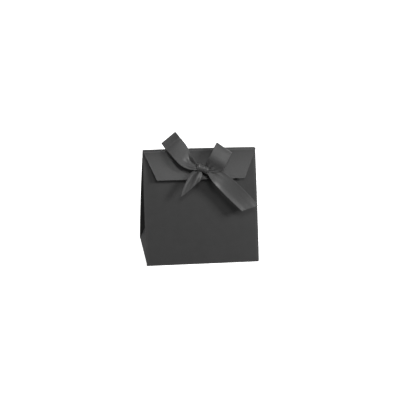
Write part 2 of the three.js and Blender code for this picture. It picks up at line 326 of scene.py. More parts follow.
def satin_material(name, tone):
    """Satin ribbon: fine threads along its length under faint cross ribs, a soft sheen across
    them and a tighter, duller selvedge."""
    n = Nodes(name)
    uv = n.add("ShaderNodeUVMap", uv_map="cloth").outputs[0]
    axes = n.add("ShaderNodeSeparateXYZ", {0: uv})
    across, along = axes.outputs[0], axes.outputs[1]
    threads = n.noise(n.stretched(uv, THREADS), 1.0, 2.0, 0.5)
    ribs = n.math("SINE", n.math("MULTIPLY", along, 2 * math.pi / RIB_PITCH))
    slub = n.noise(n.stretched(uv, SLUBS), 1.0, 3.0, 0.5)
    off_centre = n.math("ABSOLUTE", n.math("SUBTRACT", across, RIBBON * MM / 2))
    selvedge = n.ranged(off_centre, 0.0, 1.0, *SELVEDGE)
    shade = n.math("MULTIPLY", n.ranged(threads, 0.90, 1.10), n.ranged(slub, 0.95, 1.05))
    shade = n.math("MULTIPLY", shade, n.math("ADD", n.math("MULTIPLY", ribs, 0.02), 1.0))
    shade = n.math("MULTIPLY", shade, n.ranged(selvedge, 1.0, 1.12, 0.0, 1.0))
    value = n.math("MULTIPLY", shade, tone)
    height = n.math("ADD", threads, n.math("MULTIPLY", ribs, 0.18))
    height = n.math("ADD", height, n.math("MULTIPLY", selvedge, 0.8))
    rough = n.ranged(selvedge, 0.50, 0.62, 0.0, 1.0)
    tangent = n.add("ShaderNodeTangent", direction_type="UV_MAP", uv_map="cloth").outputs[0]
    n.put(tangent, n.shader.inputs["Tangent"])
    return n.finish(n.tone(value), rough, height, SATIN_BUMP, Anisotropic=0.3,
                    Specular_IOR_Level=0.5, Sheen_Weight=0.12, Sheen_Roughness=0.4)


def floor_material():
    """Seamless white studio paper."""
    n = Nodes("studio_paper")
    place = n.add("ShaderNodeTexCoord").outputs["Object"]
    value = n.ranged(n.noise(place, 90.0), 0.90, 0.92)
    n.put((1, 1, 1, 1), n.shader.inputs["Emission Color"])
    n.put(FLOOR_GLOW, n.shader.inputs["Emission Strength"])
    return n.finish(n.tone(value), 0.9, n.noise(place, 1500.0), PAPER_BUMP)


CARD_FACE = card_material("dark_card", tone=0.034, worn_tone=0.062, base_roughness=0.43)
CARD_EDGE = card_material("card_cut_edge", tone=0.045, worn_tone=0.062, base_roughness=0.66)
SATIN_FACE = satin_material("dark_satin", tone=0.052)


# ---- carton sleeve ----

MID = CARD / 2
TURN_RADIUS = 0.4
LAP_MID = CARD + CREASE + MID            # outer face to the middle of a folded-back facet
TAB_MID = CARD + GLUE + MID              # the same for the glue tab
SEAM_GAP = 0.2                           # from the glue tab to the facet behind it
SEAM_MID = 2 * CARD + GLUE + SEAM_GAP + MID
TIP_MID = 1.75 + MID                     # the same at a gusset's point
LEAST_FOLD = 0.3                         # how far a gusset reaches in at the very bottom
SLEEVE_FOOT = 0.83                       # heights where the walls start and end
SLEEVE_HEAD = RIDGE_Z - 0.08
TAB_SHORT = 6.0                          # how far the glue tab stops short of either end
BASE_STOP = 3.2                          # how far the base panel stops short of the front
BULGE = 0.6                              # how far the big panels bow out
GUSSET_SAG = 0.9                         # how far the side creases draw in
EDGE_BOW = {-1: 0.55, 1: 0.25}           # how far each side edge bows out
RIDGE_ARCH = 0.4                         # rise of the top edge at its middle
CREASE_WEAR, END_WEAR, RIM_WEAR = 0.45, 0.4, 0.5      # how rubbed, from 0 to 1
ROWS = 56
ARC_STEPS = 6
TURN_ROWS = 8                            # rows round the crease under a panel
# Places of the rows along the card beyond that crease.
UNDER_STEPS = (0.4, 0.8, 1.3, 1.8, 2.4, 3.2, 4.5, 6.5, 9.0, 11.5)


def face_y(side, z, depth):
    """y at a depth under a main panel's outer face: side -1 is the front, 1 the back."""
    return side * (HALF_D - z * TAN_L - depth / COS_L)


def fillet(before, corner, after, radius):
    """A rounded corner as points from one straight run to the next."""
    a, b, c = (np.array(p, float) for p in (before, corner, after))
    u, v = a - b, c - b
    lu, lv = np.linalg.norm(u), np.linalg.norm(v)
    u, v = u / lu, v / lv
    half = math.acos(np.clip(u @ v, -0.9999, 0.9999)) / 2
    reach = min(radius / math.tan(half), 0.46 * lu, 0.46 * lv)
    r = reach * math.tan(half)
    middle = b + (u + v) / np.linalg.norm(u + v) * (r / math.sin(half))
    first, last = b + u * reach - middle, b + v * reach - middle
    angle = math.acos(np.clip(first @ last / (r * r), -1, 1))
    points = []
    for t in np.linspace(0, 1, ARC_STEPS + 1):
        w = np.array([math.sin((1 - t) * angle), math.sin(t * angle)]) / math.sin(angle)
        points.append(middle + w[0] * first + w[1] * last)
    return points


def slice_skeleton(z):
    """Corners of the sleeve at one height, from the glue tab round to the front's left edge."""
    edge = HALF_W - MID
    inward = max(GUSSET_TAN * z, LEAST_FOLD)
    valley = edge - inward
    reach = inward / POINT_IN
    facet = LAP_MID + (TIP_MID - LAP_MID) * reach
    seam = SEAM_MID + (TIP_MID - SEAM_MID) * reach
    return [
        (-HALF_W + SEAM_LAP, face_y(-1, z, TAB_MID)),
        (-edge, face_y(-1, z, TAB_MID)),
        (-edge, face_y(-1, z, SEAM_MID)),
        (-valley, face_y(-1, z, seam)),
        (-valley, face_y(1, z, facet)),
        (-edge, face_y(1, z, LAP_MID)),
        (-edge, face_y(1, z, MID)),
        (edge, face_y(1, z, MID)),
        (edge, face_y(1, z, LAP_MID)),
        (valley, face_y(1, z, facet)),
        (valley, face_y(-1, z, facet)),
        (edge, face_y(-1, z, LAP_MID)),
        (edge, face_y(-1, z, MID)),
        (-HALF_W, face_y(-1, z, MID)),
    ]


# Columns along the straight run after each corner, and the runs that have names.
RUN_STEPS = [5, 1, 12, 10, 12, 1, 40, 1, 12, 10, 12, 1, 40]
TAB_RUN, LEFT_RUN, BACK_RUN, RIGHT_RUN, FRONT_RUN = 0, 3, 6, 9, 12


def sleeve_slice(z):
    """Points round the sleeve at one height, with each run's first and last column."""
    corners = slice_skeleton(z)
    arcs = [[np.array(corners[0])]]
    for k in range(1, len(corners) - 1):
        arcs.append(fillet(corners[k - 1], corners[k], corners[k + 1], TURN_RADIUS))
    arcs.append([np.array(corners[-1])])
    points, runs = [], []
    for k, arc in enumerate(arcs):
        points += arc
        if k < len(arcs) - 1:
            start, end = arc[-1], arcs[k + 1][0]
            runs.append((len(points) - 1, len(points) - 1 + RUN_STEPS[k]))
            for j in range(1, RUN_STEPS[k]):
                points.append(start + (end - start) * j / RUN_STEPS[k])
    return np.array(points), runs


def settle(points):
    """The slight bows that folded card takes, zero along the base."""
    p = np.array(points, float)
    x, y, z = p[:, 0], p[:, 1], p[:, 2]
    t = np.clip(z / RIDGE_Z, 0, 1)
    rise = np.sin(math.pi * t)
    w = np.clip(y / (HALF_D - z * TAN_L), -1, 1)
    across = np.clip(x / HALF_W, -1, 1)
    bow = np.where(x < 0, EDGE_BOW[-1], EDGE_BOW[1]) * rise * np.abs(across) ** 3
    sag = GUSSET_SAG * (1 - w ** 2) * rise * (np.abs(across) > 0.3)
    p[:, 0] += np.sign(x) * (bow - sag)
    p[:, 1] += w * BULGE * (1 - across ** 2) * rise
    p[:, 2] += RIDGE_ARCH * (1 - across ** 2) * t ** 3
    return p


def fold_under(start, down, inward, length, rise, shrink, side_axis):
    """Rows that carry a panel's lower edge round its crease and in under the box. The rows run
    along the card: a tight turn, then level card that ends `rise` above the turn's lowest point."""
    start = np.asarray(start, float)
    down, inward = np.array(down, float), np.array(inward, float)
    square = inward - (inward @ down) * down
    square /= np.linalg.norm(square)
    total = math.acos(np.clip(down @ inward, -1, 1))
    centre = start + square * TURN_RADIUS
    rows = []
    for angle in np.linspace(0, total, TURN_ROWS + 1)[1:]:
        rows.append(centre + TURN_RADIUS * (math.sin(angle) * down - math.cos(angle) * square))
    base = rows[-1]
    for step in (*UNDER_STEPS, length):
        lift = np.array([0, 0, rise * float(smooth_step(step / 2.0))])
        row = base + inward * step + lift
        row[:, side_axis] *= 1 - shrink(step) / np.abs(base[:, side_axis]).max()
        rows.append(row)
    return rows


def mitre(step):
    """How much a base flap's ends draw in, this far under the box: cut at 45 degrees."""
    return 0.25 + step


def tuck(step):
    """The same for the base panel, which is a little narrower than the box."""
    return 2.1 * float(smooth_step(step / 1.6))


def sleeve_grid():
    """The sleeve's heights, its row of points at each and every run's columns."""
    heights = SLEEVE_FOOT + (SLEEVE_HEAD - SLEEVE_FOOT) * np.linspace(0, 1, ROWS)
    rows = []
    for z in heights:
        ring, runs = sleeve_slice(z)
        rows.append(settle(np.column_stack([ring, np.full(len(ring), z)])))
    return heights, rows, runs


def sleeve_faces(heights, columns, tab_end):
    """Quads up the sleeve, with the glue tab stopping short of both ends."""
    faces = []
    for i in range(ROWS - 1):
        beside_tab = TAB_SHORT < heights[i] < RIDGE_Z - TAB_SHORT
        for j in range(columns - 1):
            if j >= tab_end or beside_tab:
                a = i * columns + j
                faces.append([a, a + 1, a + columns + 1, a + columns])
    return faces


def sleeve_wear(columns, runs):
    """How rubbed each point is: most along the creases and at the top and bottom rows."""
    flat = np.zeros(columns)
    for first, last in runs:
        flat[first:last + 1] = 1.0
    line = np.convolve(1.0 - flat, np.ones(3), mode="same").clip(0, 1)
    line *= CREASE_WEAR
    line[0] = line[-1] = END_WEAR
    return [np.maximum(line, RIM_WEAR if i in (0, ROWS - 1) else 0.0) for i in range(ROWS)]


def add_base(points, faces, wear, foot, runs):
    """The base panel and its three flaps, each carried on from its own panel's lower edge."""
    leg = 1 / math.hypot(1, GUSSET_TAN)
    under = {
        FRONT_RUN: ((0, -SIN_L, -COS_L), (0, 1, 0), BASE_LAP, 0.55, mitre, 0),
        BACK_RUN: ((0, SIN_L, -COS_L), (0, -1, 0), 2 * HALF_D - BASE_STOP, -0.05, tuck, 0),
        LEFT_RUN: ((-GUSSET_TAN * leg, 0, -leg), (1, 0, 0), BASE_LAP, 0.55, mitre, 1),
        RIGHT_RUN: ((GUSSET_TAN * leg, 0, -leg), (-1, 0, 0), BASE_LAP, 0.55, mitre, 1),
    }
    for run, (down, inward, length, rise, shrink, axis) in under.items():
        first, last = runs[run]
        edge = list(range(first, last + 1))
        for k, row in enumerate(fold_under(foot[edge], down, inward, length, rise, shrink, axis)):
            start = len(points)
            points.extend(row)
            wear.extend([1.0 if k < TURN_ROWS else 0.1] * len(row))
            fresh = list(range(start, start + len(row)))
            for j in range(len(row) - 1):
                faces.append([fresh[j], fresh[j + 1], edge[j + 1], edge[j]])
            edge = fresh


def make_sleeve():
    """The one sheet that makes both main panels, the gussets, the glue tab and the base."""
    heights, rows, runs = sleeve_grid()
    columns = len(rows[0])
    faces = sleeve_faces(heights, columns, runs[TAB_RUN][1])
    points = list(np.concatenate(rows))
    wear = list(np.concatenate(sleeve_wear(columns, runs)))
    add_base(points, faces, wear, rows[0], runs)
    sleeve = make_object("card_sleeve", points, faces)
    add_attribute(sleeve, "wear", wear)
    sleeve.data.materials.append(CARD_FACE)
    sleeve.data.materials.append(CARD_EDGE)
    drop_loose_points(sleeve)
    thicken(sleeve, CARD, 1)
    punch(sleeve, -REACH, WALL_CUT)
    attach(sleeve, "carton")
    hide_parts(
        "front_panel", "back_panel", "seam_tab", "base_panel", "front_base_flap",
        *[f"{side}_gusset_{part}"
          for side in ("left", "right") for part in ("front", "centre", "back")],
        "left_base_flap", "right_base_flap",
    )


# ---- closure ----

FRONT_RADIUS = 0.65       # front crease, from the ridge strip down the flap
FLAP_BOW = 0.5            # how far the flap's middle bows in towards the panel
FLAP_ROWS = 30
FLAP_COLUMNS, CREASE_COLUMNS = 81, 60
ARCH_FADE = 14            # how far below the ridge the arch of the top edge dies away
STRIP_START = HALF_D - SLEEVE_HEAD * TAN_L - MID / COS_L


def back_crease_path():
    """(y, z) from the back panel's top edge over to the level ridge strip."""
    start = np.array([STRIP_START, SLEEVE_HEAD])
    rise = STRIP_Z - SLEEVE_HEAD
    radius = rise / (1 - SIN_L)
    centre = start + radius * np.array([-COS_L, -SIN_L])
    turn = math.pi / 2 - LEAN
    path = []
    for t in np.linspace(0, 1, 11):
        a = LEAN + t * turn
        path.append(centre + radius * np.array([math.cos(a), math.sin(a)]))
    return np.array(path)


def make_sheet(name, path, half_widths, columns, wear_at, rim=1):
    """A card sheet swept along a (y, z) path, its half width and wear given at each point. rim
    is the material slot of its cut edges, counted on from the face's."""
    points, wear = [], []
    for (y, z), half, worn in zip(path, half_widths, wear_at):
        x = np.linspace(-half, half, columns)
        row = np.column_stack([x, np.full(columns, y), np.full(columns, z)])
        points.append(row)
        edge = np.abs(np.linspace(-1, 1, columns)) > 0.995
        wear.append(np.maximum(worn, RIM_WEAR * edge))
    faces = []
    for i in range(len(path) - 1):
        for j in range(columns - 1):
            a = i * columns + j
            faces.append([a, a + 1, a + columns + 1, a + columns])
    points = np.concatenate(points)
    fade = np.clip((points[:, 2] - (RIDGE_Z - ARCH_FADE)) / ARCH_FADE, 0, 1) ** 2
    points[:, 2] += RIDGE_ARCH * (1 - (points[:, 0] / HALF_W) ** 2) * fade
    sheet = make_object(name, points, faces)
    add_attribute(sheet, "wear", np.concatenate(wear))
    sheet.data.materials.append(CARD_FACE)
    sheet.data.materials.append(CARD_EDGE)
    return thicken(sheet, CARD, rim)


def make_back_crease(crease):
    """The bend from the back panel to the ridge strip."""
    fold = make_sheet("back_crease", crease, [HALF_W] * len(crease), CREASE_COLUMNS,
                      [0.9] * len(crease), 0)
    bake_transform(fold)


def flap_outline(start):
    """(y, z) along the ridge strip, round the front crease and down the flap, with the half
    width and the wear at each point."""
    down = DOWN[1:]
    out = OUT[1:]
    origin = FLAP_ORIGIN[1:] - out * MID
    corner = origin + down * (STRIP_Z - origin[1]) / down[1]
    arc = fillet(start, corner, corner + down * 10, FRONT_RADIUS)
    ridge = [start + (arc[0] - start) * t for t in np.linspace(0, 1, 8)[:-1]]
    drops = np.linspace((arc[-1] - origin) @ down, FLAP_LENGTH, FLAP_ROWS)[1:]
    slope = []
    for s in drops:
        bow = FLAP_BOW * math.sin(math.pi * (s / FLAP_LENGTH) ** 0.8)
        slope.append(origin + down * s - out * bow)
    halves = [HALF_W] * (len(ridge) + len(arc))
    halves += [HALF_W - FLAP_INSET * s / FLAP_LENGTH for s in drops]
    worn = [0.1] * len(ridge) + [1.0] * len(arc) + [0.0] * len(slope)
    worn[len(ridge) - 1] = 0.5
    return ridge + arc + slope, halves, worn


def make_closing_flap(crease):
    """The ridge strip and flap as one bent card, carried on from the back crease."""
    path, halves, worn = flap_outline(crease[-1])
    flap = make_sheet("closing_flap", path, halves, FLAP_COLUMNS, worn)
    punch(flap, -MID, FLAP_CUT)
    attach(flap, "flap")
    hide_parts("ridge_strip", "closure_flap")


# ---- ribbon ----

LANES = 41                # points across the ribbon
ROWS_PER_GAP = 10
PLEAT_HEIGHT = 0.27       # the most that a pleat stands up
PLEAT_START = 15.2        # pleats begin where the ribbon's chord is narrower than this
PLEAT_SPAN = 4.0          # and are full where it is narrower by this much


def shell_faces(rows, lanes):
    """Faces of a thin closed sheet: its top grid of points, then its underside's."""
    size = rows * lanes
    faces = []
    for i in range(rows - 1):
        for j in range(lanes - 1):
            a = i * lanes + j
            faces.append([a, a + lanes, a + lanes + 1, a + 1])
            faces.append([size + a, size + a + 1, size + a + lanes + 1, size + a + lanes])
        for a in (i * lanes, i * lanes + lanes - 1):
            faces.append([a, size + a, size + a + lanes, a + lanes])
    for i in (0, rows - 1):
        for j in range(lanes - 1):
            a = i * lanes + j
            faces.append([a, a + 1, size + a + 1, size + a])
    return faces


def lay_cloth(obj, cloth):
    """Gives a ribbon piece its cloth coordinates, in metres across and along, and its satin."""
    layer = obj.data.uv_layers.new(name="cloth")
    for loop in obj.data.loops:
        layer.data[loop.index].uv = cloth[loop.vertex_index]
    obj.data.materials.append(SATIN_FACE)


def across_curve(values, at):
    """A smooth curve through offsets spaced evenly across the ribbon, from -1 to 1."""
    knots = np.linspace(-1, 1, len(values))
    slopes = np.gradient(values, knots)
    k = np.clip(np.searchsorted(knots, at) - 1, 0, len(knots) - 2)
    h = knots[k + 1] - knots[k]
    t = (at - knots[k]) / h
    return ((2 * t ** 3 - 3 * t ** 2 + 1) * values[k] + (t ** 3 - 2 * t ** 2 + t) * h * slopes[k]
            + (3 * t ** 2 - 2 * t ** 3) * values[k + 1] + (t ** 3 - t ** 2) * h * slopes[k + 1])


def pleat_waves(width, v, pleats, phase):
    """Small folds across the ribbon, wherever the chord is too short for the cloth."""
    ratio = np.clip(RIBBON / np.maximum(width, 1.0), 1.0, 3.0)
    needed = width / (2 * math.pi * pleats) * 1.4 * np.sqrt(ratio ** 2 - 1)
    amount = np.minimum(needed, PLEAT_HEIGHT) * smooth_step((PLEAT_START - width) / PLEAT_SPAN)
    return np.sin(math.pi * pleats * (v[None, :] + 1) + phase) * amount[:, None]


def trim_lanes(grid, lengthwise, shares):
    """Shortens each lane of a grid of cloth to its share of the length."""
    place = np.arange(len(grid))
    for lane, share in enumerate(shares):
        for part in range(3):
            grid[:, lane, part] = np.interp(place * share, place, grid[:, lane, part])
        lengthwise[:, lane] *= share


def cloth_shell(grid, v):
    """The top and the underside of a grid of cloth, thicker along its selvedges."""
    face = np.cross(np.gradient(grid, axis=0), np.gradient(grid, axis=1))
    face /= np.maximum(np.linalg.norm(face, axis=2), 1e-9)[:, :, None]
    selvedge = 1 + 0.7 * np.exp(-(((np.abs(v) - 0.965) / 0.03) ** 2))
    rim = np.where(np.abs(v) > 0.999, 0.35, 1.0)
    half = (SATIN / 2 * selvedge * rim)[None, :, None]
    top, bottom = grid + face * half, grid - face * half
    return np.concatenate([top.reshape(-1, 3), bottom.reshape(-1, 3)])


def ribbon_mesh(name, rows, facing, trim=None, pleats=3.0, phase=0.0):
    """A ribbon through rows of centre, direction across, chord width and five offsets across
    it. facing is the sign that turns the offsets towards the viewer."""
    centres, width = rows[:, :3], rows[:, 6]
    along = unit(np.gradient(centres, axis=0))
    wide = unit(rows[:, 3:6])
    normal = unit(facing * np.cross(along, wide))
    v = np.linspace(-1, 1, LANES)
    lift = np.array([across_curve(row, v) for row in rows[:, 7:12]])
    lift = lift + pleat_waves(width, v, pleats, phase)
    grid = (centres[:, None, :] + wide[:, None, :] * (v[None, :, None] * width[:, None, None] / 2)
            + normal[:, None, :] * lift[:, :, None])
    run = np.concatenate([[0], np.cumsum(np.linalg.norm(np.diff(centres, axis=0), axis=1))])
    lengthwise = np.repeat(run[:, None], LANES, axis=1)
    if trim is not None:
        trim_lanes(grid, lengthwise, trim(v))
    faces = shell_faces(len(rows), LANES)
    obj = make_object(name, on_flap(cloth_shell(grid, v)), faces, SHARP_CLOTH)
    across = (v + 1) / 2 * RIBBON * MM
    cloth = [(float(x), float(y * MM)) for row in lengthwise for x, y in zip(across, row)]
    lay_cloth(obj, cloth * 2)
    return obj, float(run[-1])


# Each station is u, s and h of the ribbon's middle, the direction across it, its chord width and
# five offsets across it. On a loop they run from the upper edge to the lower one, out from the
# knot along the front layer, round the fold and back along the layer behind.
LEFT_LOOP = [
    [-0.5, 16.6, 4.2, 0.00, 0.95, 0.20, 4.5, 0.2, 0.0, 0.0, 0.0, 0.2],
    [-3.6, 15.8, 4.6, 0.00, 0.95, 0.20, 5.6, 0.3, 0.3, 0.4, 0.4, 0.2],
    [-6.4, 14.6, 4.9, -0.05, 0.95, 0.20, 8.4, 1.5, -0.6, 0.5, 0.7, 0.2],
    [-9.4, 12.8, 5.1, -0.28, 0.93, 0.12, 10.8, 2.2, -0.8, 0.2, 0.5, 0.2],
    [-12.6, 9.9, 5.6, -0.48, 0.86, 0.06, 13.6, 0.5, -0.3, -0.4, 0.1, 0.3],
    [-15.2, 6.6, 6.1, -0.62, 0.78, 0.02, 15.4, 0.1, 0.1, 0.0, 0.0, 0.0],
    [-17.6, 3.0, 6.3, -0.70, 0.71, 0.00, 16, -0.1, 0.2, 0.2, 0.0, -0.1],
    [-20.1, -0.7, 6.1, -0.76, 0.66, -0.04, 16, -0.2, 0.1, 0.2, 0.1, -0.2],
    [-22.3, -3.8, 5.6, -0.78, 0.62, -0.08, 16, -0.1, 0.1, 0.1, 0.1, -0.1],
    [-24.0, -6.1, 4.8, -0.78, 0.60, -0.14, 16, 0, 0, 0, 0, 0],
    [-25.2, -7.6, 5.4, -0.77, 0.58, -0.22, 16, 0, 0, 0, 0, 0],
    [-26.7, -9.7, 5.6, -0.76, 0.56, -0.32, 16, 0, 0, 0, 0, 0],
    [-27.8, -11.1, 4.8, -0.76, 0.55, -0.36, 16, 0, 0, 0, 0, 0],
    [-26.6, -9.6, 3.8, -0.76, 0.56, -0.32, 16, 0, 0, 0, 0, 0],
    [-22.6, -4.0, 2.6, -0.78, 0.62, -0.12, 16, 0, 0.1, 0.2, 0.1, 0],
    [-17.4, 3.0, 2.0, -0.70, 0.70, 0.0, 15, 0, 0.1, 0.3, 0.2, 0],
    [-12.2, 9.6, 1.6, -0.50, 0.85, 0.05, 11, 0, 0.1, 0.2, 0.1, 0],
    [-7.8, 13.6, 1.7, -0.25, 0.95, 0.05, 7, 0, 0.1, 0.2, 0.1, 0],
    [-3.6, 15.8, 2.5, 0.0, 1.0, 0.05, 4.4, 0, 0, 0, 0, 0],
    [-0.5, 16.8, 3.2, 0.0, 1.0, 0.05, 4, 0, 0, 0, 0, 0],
]

RIGHT_LOOP = [
    [2.5, 17.8, 4.0, 0.20, 0.90, 0.25, 4.5, 0.2, 0, 0, 0, 0.2],
    [6.4, 18.0, 4.2, 0.45, 0.88, 0.15, 7.0, 0.2, 0.3, 0.3, 0.3, 0.1],
    [9.0, 17.2, 5.2, 0.70, 0.72, 0.05, 11.5, 0.1, 0.3, 0.3, 0.2, 0],
    [11.2, 15.4, 7.4, 0.79, 0.61, 0.00, 14.6, 0.0, 0.2, 0.3, 0.1, -0.1],
    [12.9, 13.2, 9.5, 0.80, 0.60, 0.00, 15.6, 0, 0.2, 0.3, 0.1, -0.1],
    [14.6, 10.4, 10.3, 0.80, 0.60, 0, 15.8, -0.1, 0.1, 0.2, 0.1, -0.1],
    [17.0, 6.2, 10.2, 0.80, 0.60, 0, 16, 0, 0, 0.1, 0, 0],
    [18.9, 2.9, 9.5, 0.80, 0.60, 0, 16, 0, 0, 0, 0, 0],
    [20.4, 0.5, 8.2, 0.80, 0.60, 0, 16, 0, 0, 0, 0, 0],
    [21.0, -0.5, 6.6, 0.80, 0.60, 0, 16, 0, 0, 0, 0, 0],
    [20.2, 0.6, 5.0, 0.80, 0.60, 0, 16, 0, 0, 0, 0, 0],
    [17.4, 5.2, 4.2, 0.80, 0.60, 0, 15.4, 0, 0.1, 0.2, 0.1, 0],
    [14.0, 10.4, 3.4, 0.74, 0.66, 0.10, 12, 0, 0.2, 0.3, 0.2, 0],
    [10.6, 14.6, 2.6, 0.60, 0.78, 0.15, 7.5, 0, 0.1, 0.3, 0.1, 0],
    [6.6, 16.8, 2.6, 0.40, 0.90, 0.10, 4.4, 0, 0, 0, 0, 0],
    [2.5, 17.4, 3.4, 0.30, 0.90, 0.10, 4, 0, 0, 0, 0, 0],
]

# The right tail's offsets run from its lower left edge to its upper right one.
RIGHT_TAIL = [
    [2.6, 18.9, 3.6, 0.40, -0.70, -0.30, 4.5, 0, 0, 0, 0, 0],
    [7.0, 19.8, 4.2, 0.55, -0.65, -0.25, 7.5, 0.2, 0.2, 0.3, 0.2, 0.3],
    [10.4, 22.2, 4.8, 0.64, -0.62, -0.15, 10.8, 0.6, -0.3, -0.6, -0.2, 0.7],
    [14.8, 26.2, 5.2, 0.66, -0.62, -0.05, 13.6, 0.7, -0.3, -0.6, -0.4, 0.4],
    [20.6, 31.7, 5.0, 0.66, -0.64, 0.12, 14.6, 0.3, -0.3, -0.4, -0.3, 0.0],
    [27.1, 38.4, 4.3, 0.66, -0.64, 0.18, 14.8, 0.3, -0.3, -0.4, -0.3, 0.0],
    [33.3, 44.7, 3.3, 0.67, -0.62, 0.16, 14.8, 0.6, -0.2, -0.3, -0.2, 0.0],
    [38.2, 49.8, 2.3, 0.69, -0.56, 0.08, 14.6, 0.8, 0.1, 0.0, 0.0, -0.1],
    [42.8, 54.8, 1.4, 0.74, -0.46, 0.02, 14.0, 0.5, 0.2, 0.2, 0.1, -0.2],
]

# The left tail's run from its left edge to its right one, folded into facets near the knot.
LEFT_TAIL = [
    [-1.6, 18.2, 3.2, 0.95, 0.20, 0.10, 4.5, 0.2, -0.1, 0, 0.1, -0.1],
    [-3.2, 20.4, 3.6, 0.93, 0.25, 0.12, 8.0, 0.9, -0.7, 0.3, 1.1, -0.6],
    [-5.2, 23.6, 4.2, 0.92, 0.28, 0.18, 10.0, 0.9, -1.0, 0.4, 1.5, -0.3],
    [-7.6, 28.2, 4.8, 0.90, 0.30, 0.26, 11.0, 0.6, -0.9, 0.2, 1.1, 1.1],
    [-9.8, 33.2, 5.2, 0.88, 0.30, 0.34, 12.2, 0.4, -0.6, 0.1, 0.7, 1.4],
    [-11.6, 38.4, 5.4, 0.86, 0.30, 0.40, 13.4, 0.3, -0.4, 0.0, 0.5, 1.2],
    [-13.0, 43.4, 5.4, 0.84, 0.30, 0.42, 14.0, 0.3, -0.2, 0.0, 0.4, 1.0],
]


def right_trim(v):
    """The right tail's end is cut on the slant, longest at its upper right edge."""
    return 1.0 - 0.045 * (1 - v)


def left_trim(v):
    """The left tail's end is cut on a long slant, longest at its left edge."""
    return 1.0 - 0.26 * (v + 1)


def make_ribbons():
    """The two loops and two tails of the bow."""
    plan = [
        ("bow_left_loop", "left_loop", LEFT_LOOP, -1, "bow", "folded", {"phase": 0.6}),
        ("bow_right_loop", "right_loop", RIGHT_LOOP, 1, "bow", "folded", {"phase": 2.0}),
        ("ribbon_right_tail", "right_tail", RIGHT_TAIL, -1, "right_tail", "hung",
         {"phase": 1.0, "trim": right_trim}),
        ("ribbon_left_tail", "left_tail", LEFT_TAIL, -1, "left_tail", "hung",
         {"phase": 2.6, "trim": left_trim}),
    ]
    for node, name, stations, facing, body, held, options in plan:
        rows = smooth_rows(stations, ROWS_PER_GAP)
        obj, length = ribbon_mesh(name, rows, facing, **options)
        share = float(np.mean(options.get("trim", np.ones_like)(np.linspace(-1, 1, LANES))))
        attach(obj, body)
        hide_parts(node)


KNOT_CENTRE = (1.0, 17.2, 4.1)     # u, s and h
KNOT_HALF = (5.2, 3.1, 2.9)        # half its length, width and depth
KNOT_TIP = math.radians(22.0)      # how far it tips down to the right
KNOT_END = 1.18                    # its ends are at 1 along it, and roll in beyond that
KNOT_RINGS, KNOT_SIDES = 46, 72
KNOT_WRAP = 3.0                    # cloth lengthwise for each radian round it


def knot_ring(a, turn):
    """One ring of the knot at a along it, ridged where the cloth is gathered."""
    half_along, half_across, half_out = KNOT_HALF
    inside = max(abs(a) - 1.0, 0.0)
    along = math.copysign(min(abs(a), 1.0) - 0.9 * inside, a) * half_along
    waist = 0.10 * (1 - a * a if abs(a) < 1 else 0)
    swell = float(1 - waist - 0.30 * smooth_step((abs(a) - 0.78) / 0.3)) - 0.9 * inside
    ridge = 0.035 * np.cos(7.0 * a + 1.2 * np.sin(turn))
    ridge = ridge + 0.018 * np.cos(15.0 * a - 1.3 * np.cos(turn))
    r = swell + ridge
    across = r * np.sin(turn) * half_across
    out = r * np.cos(turn) * half_out
    skew = 0.35 * np.sin(turn)
    u = KNOT_CENTRE[0] + (along + skew) * math.cos(KNOT_TIP) - across * math.sin(KNOT_TIP)
    s = KNOT_CENTRE[1] + (along + skew) * math.sin(KNOT_TIP) + across * math.cos(KNOT_TIP)
    return np.column_stack([u, s, KNOT_CENTRE[2] + out])


def make_knot():
    """The band of ribbon that wraps the bow's middle, gathered into soft ridges."""
    turn = np.linspace(0, 2 * math.pi, KNOT_SIDES, endpoint=False)
    points, cloth = [], []
    for a in np.linspace(-KNOT_END, KNOT_END, KNOT_RINGS):
        points.append(knot_ring(a, turn))
        across = (a + KNOT_END) / (2 * KNOT_END) * RIBBON * MM
        cloth += [(across, t * KNOT_WRAP * MM) for t in turn]
    faces = tube_faces(KNOT_RINGS, KNOT_SIDES)
    knot = make_object("knot", on_flap(np.concatenate(points)), faces, SHARP_CLOTH)
    lay_cloth(knot, cloth)
    thicken(knot, SATIN)
    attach(knot, "bow")
    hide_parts("ribbon_knot")
    return knot


LEG_TOP = 2.6                      # h of a leg's end under the knot
LEG_RADIUS = 1.22
LEG_RINGS, LEG_SIDES = 30, 60


def leg_ring(side, h, t, turn):
    """One ring of a bunched leg at h, t of the way down it, drawn in under the knot."""
    radius = LEG_RADIUS + 0.12 * np.cos(5 * turn + 2.2 * t) + 0.06 * np.cos(9 * turn - 3 * t)
    drawn = smooth_step((h - 0.6) / 2.0)
    u = side * (HOLE_SPACING / 2 - 0.9 * drawn) + radius * np.cos(turn)
    s = HOLE_DROP - 1.0 * drawn + radius * np.sin(turn)
    return np.column_stack([u, s, np.full(len(turn), h)])


def make_leg(side, name):
    """The ribbon bunched up where it passes through one hole on its way round the panel."""
    turn = np.linspace(0, 2 * math.pi, LEG_SIDES, endpoint=False)
    points, cloth = [], []
    for k, h in enumerate(np.linspace(LEG_TOP, -REACH - 1.0, LEG_RINGS)):
        points.append(leg_ring(side, h, k / (LEG_RINGS - 1), turn))
        cloth += [(a / (2 * math.pi) * RIBBON * MM, (LEG_TOP - h) * MM) for a in turn]
    count = LEG_RINGS * LEG_SIDES
    faces = tube_faces(LEG_RINGS, LEG_SIDES)
    faces += [list(range(LEG_SIDES)), list(range(count - 1, count - LEG_SIDES - 1, -1))]
    leg = make_object(f"{name}_leg", on_flap(np.concatenate(points)), faces, SHARP_CLOTH)
    lay_cloth(leg, cloth)
    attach(leg, "bow")
    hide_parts(f"ribbon_{name}_leg")
    return leg


